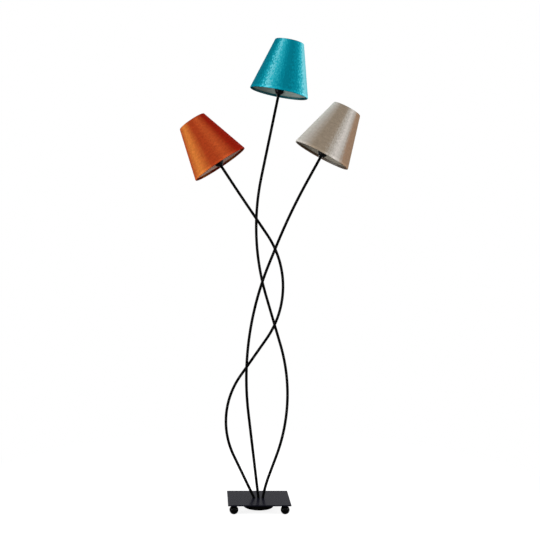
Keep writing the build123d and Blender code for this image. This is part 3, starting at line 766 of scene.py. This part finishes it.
hem_out = CLOTH + LINING + 2 * GAP
hem_in = hem_out + CLOTH
top = slant - FOLD
face = [slope(FOLD + (top - FOLD) * i / SLOPE_ROWS, 0) for i in range(1, SLOPE_ROWS)]
top_roll = fold(top, 1, FOLD)
top_hem = [slope(slant - HEM, hem_in), slope(slant - HEM, hem_out)] + fold(top, 1, FOLD - CLOTH)[::-1]
low_hem = fold(FOLD, -1, FOLD - CLOTH) + [slope(HEM, hem_out), slope(HEM, hem_in)]
low_roll = fold(FOLD, -1, FOLD)[::-1]
half = FOLD_STEPS // 2
cloth_outline = face + top_roll + top_hem + low_hem + low_roll
outer_painted_light = [1.0] * len(face) + [1.0] + [TOP_PAINTED_SHADE] * FOLD_STEPS
hem_points = len(top_hem) + len(low_hem) + half + 1
low, high = 2 * FOLD + GAP, slant - 2 * FOLD - GAP
glued, bare = CLOTH + GAP, CLOTH + GAP + LINING
lining_outline = [slope(low, glued), slope(high, glued), slope(high, bare), slope(low, bare)]
print("points in the cloth's outline:", len(cloth_outline), "slant:", round(slant, 1), "mm")

# %% Shades
COLOUR_OF = {"left": "orange_velvet", "right": "beige_velvet", "top": "teal_velvet"}
# Each lining colour is white styrene greyed as painted shade and tinted in its cloth's colour as painted light
SHADED_LINING_COLOURS = {"left": "#dcbcae", "right": "#a59f92", "top": "#9fb0aa"}
for lamp in LAMPS:
    place = lamp_place(lamp)
    tones = outer_painted_light + [HEM_PAINTED_SHADE[lamp]] * hem_points + [LIP_PAINTED_HIGHLIGHT] * half
    cloth = COLOUR_OF[lamp]
    mesh = turned(f"{lamp}_velvet_cone", cloth_outline, place, SHADE_SIDES, tones)
    covered = [f"{lamp}_shade_velvet"]
    piece(f"{lamp}_velvet_cone", mesh, f"{lamp}_shade", covered, VELVETS[lamp])
    tint = SHADED_LINING_COLOURS[lamp]
    styrene = hard_finish(f"shaded_white_styrene_under_{cloth}", tint, 0.6, 1.0, 0.02, specular=0.1, spread=0.05)
    mesh = turned(f"{lamp}_lining", lining_outline, place, SHADE_SIDES)
    piece(f"{lamp}_lining", mesh, f"{lamp}_shade", [f"{lamp}_shade_liner"], styrene)
    print(lamp, "shade:", cloth)

# %% [markdown]
# ## Lap seam
# The cloth of a cone is one flat piece whose two ends lap over each other. The maker turns that lap to the
# back. It shows as a narrow raised strip from rim to rim, with a painted shadow line along its edges.
# Unrolled, the cloth is a sector of a ring: the cone's two rims give its angle, and a hem is added along both
# arcs.

# %% Lap seams
# The third number of each point is painted shade: 0.5 paints the shadow line on the strip's edges
LAP_SECTION = [(-5.0, -0.4, 0.5), (-4.5, 0.5, 1.0), (4.5, 0.5, 1.0), (5.0, -0.4, 0.5)]


def lap_strip(name, place):
    """Strip up the back of the cone, from (across, out, tone) points of its section."""
    shape = bmesh.new()
    nap = shape.loops.layers.uv.new("nap")
    painted_shade_and_highlight = shape.verts.layers.float.new("painted_shade_and_highlight")
    rows = []
    for i in range(SLOPE_ROWS + 1):
        along = FOLD + (top - FOLD) * i / SLOPE_ROWS
        row = []
        for wide, out, tone in LAP_SECTION:
            radius, height = slope(along, -out)
            angle = BACK + wide / radius
            point = Vector((radius * math.cos(angle), radius * math.sin(angle), height)) * MM
            vert = shape.verts.new(place @ point)
            vert[painted_shade_and_highlight] = tone
            row.append(vert)
        rows.append(row)
    count = len(LAP_SECTION)
    for low_row, high_row in zip(rows, rows[1:]):
        for k in range(count):
            after = (k + 1) % count
            shape.faces.new([low_row[k], low_row[after], high_row[after], high_row[k]])
    shape.faces.new(rows[0])
    shape.faces.new(rows[-1])
    for face in shape.faces:
        for loop in face.loops:
            local = place.inverted() @ loop.vert.co
            loop[nap].uv = (local.x / MM / SHADE_GIRTH_MM, local.z / MM / SHADE_SLANT_MM)
    bmesh.ops.recalc_face_normals(shape, faces=shape.faces)
    mesh = bpy.data.meshes.new(name)
    shape.to_mesh(mesh)
    shape.free()
    return mesh


for lamp in LAMPS:
    mesh = lap_strip(f"{lamp}_lap_seam", lamp_place(lamp))
    seam = piece(f"{lamp}_lap_seam", mesh, f"{lamp}_shade", (), VELVETS[lamp])
print("lap seams: 3, width", LAP_SECTION[-1][0] - LAP_SECTION[0][0], "mm")

# %% [markdown]
# ## Wire frames
# Inside, a ring of painted wire holds each rim round. Three spokes run from the lower ring to a flat washer,
# the carrier, which the clamp ring presses onto the lampholder. A ring is four quarter bends that meet, so
# the tree for bent bars makes it from the corners of a square.

# %% Wire frames
RING_WIRE = 1.4
SPOKE_WIRE = 1.2
SPOKE_ANGLES = (90, 210, 330)
CARRIER_RADIUS = 21.0
CARRIER_BORE = 14.3
CARRIER_HEIGHTS = (20.1, 21.6)
CARRIER_OVERLAP = 1.4
NEARLY_ROUND = 0.9995  # a trace of each straight stays, so that no two bends share a point
RING_STEPS = 36
SPOKE_STEPS = 1
WIRE_SIDES = 12


def wire_ring(along, place):
    """Closed run for the wire in a rim's fold."""
    radius, height = slope(along, FOLD)
    signs = ((1, 1), (-1, 1), (-1, -1), (1, -1))
    corners = [place @ (Vector((x * radius, y * radius, height)) * MM) for x, y in signs]
    return [(corner, radius * NEARLY_ROUND) for corner in corners], True


def spoke(angle, place):
    """Straight run from the lower ring to the carrier."""
    turn = Vector((math.cos(math.radians(angle)), math.sin(math.radians(angle)), 0))
    radius, height = slope(FOLD, FOLD)
    outer = turn * radius + Vector((0, 0, height))
    inner = turn * (CARRIER_RADIUS - CARRIER_OVERLAP) + Vector((0, 0, sum(CARRIER_HEIGHTS) / 2))
    return [(place @ (outer * MM), 0), (place @ (inner * MM), 0)], False


def joined(name, meshes):
    """One mesh of several."""
    shape = bmesh.new()
    for mesh in meshes:
        shape.from_mesh(mesh)
    whole = bpy.data.meshes.new(name)
    shape.to_mesh(whole)
    shape.free()
    return whole


low, high = CARRIER_HEIGHTS
carrier_outline = [(CARRIER_BORE, low), (CARRIER_RADIUS, low), (CARRIER_RADIUS, high), (CARRIER_BORE, high)]
paint = FINISHES["white_painted_wire"]
for lamp in LAMPS:
    place = lamp_place(lamp)
    ring = bar(f"{lamp}_low_ring", [wire_ring(FOLD, place)], RING_WIRE, RING_STEPS, WIRE_SIDES, paint)
    straight = [spoke(angle, place) for angle in SPOKE_ANGLES]
    spokes = bar(f"{lamp}_spokes", straight, SPOKE_WIRE, SPOKE_STEPS, WIRE_SIDES, paint)
    carrier = turned(f"{lamp}_carrier", carrier_outline, place, HOLDER_SIDES)
    mesh = joined(f"{lamp}_wire_frame", [ring, spokes, carrier])
    piece(f"{lamp}_wire_frame", mesh, f"{lamp}_shade", [f"{lamp}_shade_frame"], paint)
    mesh = bar(f"{lamp}_top_wire", [wire_ring(top, place)], RING_WIRE, RING_STEPS, WIRE_SIDES, paint)
    piece(f"{lamp}_top_wire", mesh, f"{lamp}_shade", [f"{lamp}_shade_top_ring"])
    print(lamp, "frame:", 2 + len(SPOKE_ANGLES), "wires")

# %% [markdown]
# ## Size
# The box that the dressed lamp fills is printed. The dressed lamp has to stay in the box of the
# construction model.

# %% Finish
bpy.context.view_layer.update()
low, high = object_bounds()
print("visual box:", [round(c, 3) for c in low], [round(c, 3) for c in high])
